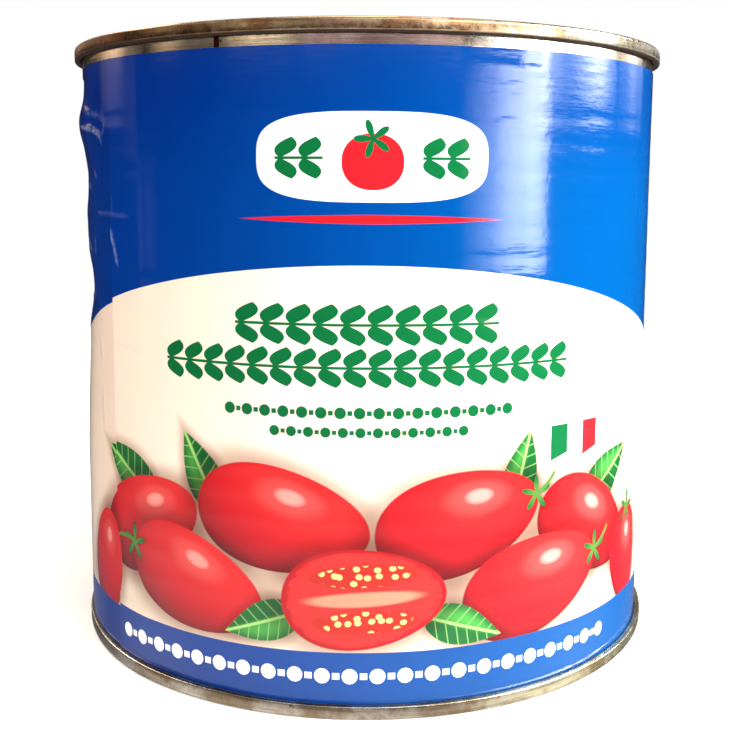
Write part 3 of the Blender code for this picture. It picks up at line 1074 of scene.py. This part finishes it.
studio = {
    "floorRadius": 620,
    "floor": tint(228, 226, 222),
    "room": (0.018, 0.017, 0.019, 1),    # dim round the tin
    "ceiling": (0.36, 0.32, 0.28, 1),
    "overhead": (1, 0.98, 0.95, 1),
    "table": (1.35, 1.30, 1.28, 1),      # what the tin reflects below it, and behind it
    "tableBehind": (0.28, 0.28, 0.33, 1),
    "backdrop": (1, 1, 1, 1),            # what the camera sees behind the tin
    # Azimuths, heights and distance in mm, brightness, colour; then how it fades from its
    # left to its right, and from its foot to its top
    "lights": {
        "window": ((34, 58), (0, 272), 1200, 12.5, (0.93, 0.95, 1), (0, 0.14, 0.34, 0.78, 1), (0.8, 1)),
        "window core": ((58, 70), (0, 340), 1190, 18, (0.94, 0.97, 1), (0.75, 0.95, 0.80, 0.30),
            (0.6, 0.72, 0.85, 1)),
        "window corner": ((66, 79), (180, 340), 1210, 12, (0.94, 0.97, 1), (1, 0.5, 0.15),
            (0, 0.5, 0.9, 1)),
        "side window": ((78, 107), (206, 345), 1200, 15, (0.94, 0.98, 1),
            (0.2, 0.5, 0.9, 1.35, 1.15, 0.4, 0.1), (0.10, 0.38, 0.72, 1)),
        "rear window": ((109, 132), (190, 345), 1200, 2.4, (0.95, 0.98, 1), (0.3, 0.4, 1, 0.4, 0.3),
            (0.2, 0.5, 0.9, 1)),
        "left strip": ((-120, -100), (196, 345), 1200, 0.5, (1, 0.84, 0.80), (0.2, 0.6, 0.85, 1, 0.3),
            (0.5, 0.9, 1)),
        "left doorway": ((-93, -84), (0, 160), 1200, 0.19, (1, 0.86, 0.84), (0.3, 1, 0.5), (1, 1, 0.4)),
        "left door frame": ((-101, -90), (140, 345), 1200, 0.17, (1, 0.86, 0.84), (0.5, 1, 0.4),
            (0.4, 1, 1)),
        "gold strip": ((-150, -102), (288, 430), 1200, 0.95, (1, 0.66, 0.38), (0.6, 0.7, 0.7, 1, 0.5),
            (1, 1)),
        "gold wall": ((-86, -70), (292, 430), 1200, 1.1, (1, 0.84, 0.66), (0.1, 1, 0.3), (1, 1)),
        "dim wall": ((-70, -50), (292, 430), 1200, 0.22, (1, 0.92, 0.90), (1, 1), (1, 1)),
        "warm wall": ((-50, -22), (298, 430), 1200, 1.4, (1, 0.88, 0.70), (0.5, 1, 0.8, 0.2), (1, 1)),
        "front wall": ((-22, 34), (298, 430), 1200, 0.74, (1, 0.72, 0.88), (0.6, 0.8, 0.5, 1, 1), (1, 1)),
        "right wall": ((109, 160), (296, 430), 1200, 0.85, (0.96, 1, 0.92), (0.6, 1, 1), (1, 1)),
        "right fill": ((30, 110), (580, 1080), 1300, 34, (0.95, 0.99, 1), (0.3, 1), (1, 1)),
        "front fill": ((-15, 35), (580, 1080), 1300, 6.5, (1, 0.97, 0.92), (0, 1), (1, 1)),
        "left fill": ((-100, -40), (580, 1080), 1300, 0.4, (1, 0.80, 0.56), (1, 1), (1, 1)),
        "left sky": ((-155, -95), (900, 1500), 1300, 9.6, (1, 0.93, 0.86), (1, 0.8), (1, 1)),
        "left lamp": ((-160, -104), (500, 800), 1250, 0.6, (1, 0.94, 0.88), (0.7, 1, 0.8), (1, 1)),
    },
    "top": {"size": 1100, "height": 1500, "place": (250, -200), "brightness": 2.4},
    "camera": {"distance": 300.5, "height": 117.2, "pitch": 7.13, "yaw": 0.13, "roll": 0.27,
               "lens": 51.96, "shiftUp": -0.0646},
}


def addSoftbox(name, width, height, spot, target, brightness, colour):
    light = bpy.data.lights.new(name, "AREA")
    light.shape = "RECTANGLE"
    light.size = width * mm
    light.size_y = height * mm
    light.energy = 4 * width * height * mm * mm * brightness    # watts for this brightness
    light.color = colour
    lamp = place(name, light)
    lamp.location = [value * mm for value in spot]
    towards = Vector([value * mm for value in target]) - lamp.location
    lamp.rotation_mode = "QUATERNION"
    lamp.rotation_quaternion = towards.to_track_quat("-Z", "Y")
    return lamp


def fadeSoftbox(lamp, across, upwards):
    # Evenly spaced brightnesses, from the light's left to its right and from its foot to its top
    lamp.data.use_nodes = True
    tree = lamp.data.node_tree
    tree.nodes.clear()
    w = Wiring(tree)
    spot = w.split(w.add("NewGeometry", {}).outputs["Parametric"])
    fades = []
    for value, levels in ((spot[0], across), (spot[1], upwards)):
        steps = len(levels) - 1
        stops = [(i / steps, (level, level, level, 1)) for i, level in enumerate(levels)]
        fades.append(w.ramp(value, stops))
    strength = w.times(*fades)
    glow = w.add("Emission", {"Strength": strength}).outputs[0]
    w.add("OutputLight", {"Surface": glow})


def lightStudio():
    for name, look in studio["lights"].items():
        azimuths, heights, distance, brightness, colour, across, upwards = look
        middle = math.radians(sum(azimuths) / 2)
        spread = math.radians(azimuths[1] - azimuths[0])
        up = sum(heights) / 2
        spot = (distance * math.sin(middle), -distance * math.cos(middle), up)
        width = 2 * distance * math.tan(spread / 2)
        height = heights[1] - heights[0]
        lamp = addSoftbox(name, width, height, spot, (0, 0, up), brightness, colour)
        fadeSoftbox(lamp, across, upwards)
    top = studio["top"]
    addSoftbox("top softbox", top["size"], top["size"], (*top["place"], top["height"]),
               (0, 0, 0), top["brightness"], (1, 0.98, 0.95))


def makeFloor():
    material, w, shader = newMaterial("pale floor")
    shade = w.scaled(w.noise(w.spot(), 0.02, 3), 0.04, 0.97)
    colour = w.vector("MULTIPLY", studio["floor"][:3], w.join(shade, shade, shade))
    finishWith(w, shader, {"Roughness": 0.6, "Specular IOR Level": 0.2, "Emission Strength": 0.2},
               Base_Color=colour, Emission_Color=colour)
    steps = 96
    radius = studio["floorRadius"]
    points = [onWall(radius, 360 * i / steps, 0) for i in range(steps)]
    mesh = bpy.data.meshes.new("floor")
    mesh.from_pydata(points, [], [tuple(range(steps))])
    mesh.materials.append(material)
    floor = place("floor", mesh)
    floor.visible_glossy = False    # the surroundings have an evenly lit table for that


def makeSurroundings():
    # The camera sees a plain pale backdrop. The tin reflects a dim room with a lighter ceiling
    # and a pale table
    world = bpy.data.worlds.new("studio")
    world.use_nodes = True
    w = Wiring(world.node_tree)
    world.node_tree.nodes.clear()
    _, behind, upwards = w.split(w.add("TexCoord", {}).outputs["Generated"])
    seen = w.add("LightPath", {}).outputs["Is Camera Ray"]
    colour = w.blend(w.ease(upwards, 0.12, 0.5), studio["room"], studio["ceiling"])
    colour = w.blend(w.ease(upwards, 0.70, 0.95), colour, studio["overhead"])
    table = w.blend(w.ease(behind, -0.05, 0.6), studio["table"], studio["tableBehind"])
    colour = w.blend(w.ease(upwards, -0.16, -0.46), colour, table)
    colour = w.blend(seen, colour, studio["backdrop"])
    shader = w.add("Background", {"Color": colour}).outputs[0]
    w.add("OutputWorld", {"Surface": shader})
    bpy.context.scene.world = world


def placeCamera():
    look = studio["camera"]
    data = bpy.data.cameras.new("camera")
    data.lens = look["lens"]
    data.sensor_width = 36
    data.shift_y = look["shiftUp"]
    data.clip_start = 0.01
    data.clip_end = 20
    camera = place("camera", data)
    pitch, yaw, roll = (math.radians(look[name]) for name in ("pitch", "yaw", "roll"))
    flat = math.cos(pitch)
    forward = Vector((math.sin(yaw) * flat, math.cos(yaw) * flat, -math.sin(pitch)))
    level = forward.cross(Vector((0, 0, 1))).normalized()
    upright = level.cross(forward)
    right = level * math.cos(roll) + upright * math.sin(roll)
    up = right.cross(forward)
    turn = Matrix((right, up, -forward)).transposed().to_4x4()
    camera.matrix_world = Matrix.Translation((0, -look["distance"] * mm, look["height"] * mm)) @ turn
    bpy.context.scene.camera = camera


def setColours():
    view = bpy.context.scene.view_settings
    view.view_transform = "Standard"
    view.look = "None"
    view.exposure = 0
    view.gamma = 1


print("camera and studio")
placeCamera()
makeSurroundings()
lightStudio()
makeFloor()
setColours()

print("finishes")
plates = {name: makePlate(look) for name, look in plateLooks.items()}
printed = makeLabelPaper()
bare = makePaperCore()

print("pieces")
makeCanWall(plates["wall"])
makeWeldStripe(plates["weld"])
for piece, finish, *settings in pressedEnd["pieces"]:
    makeEnd(piece, plates[finish], *settings)
makeLabel(printed, bare)
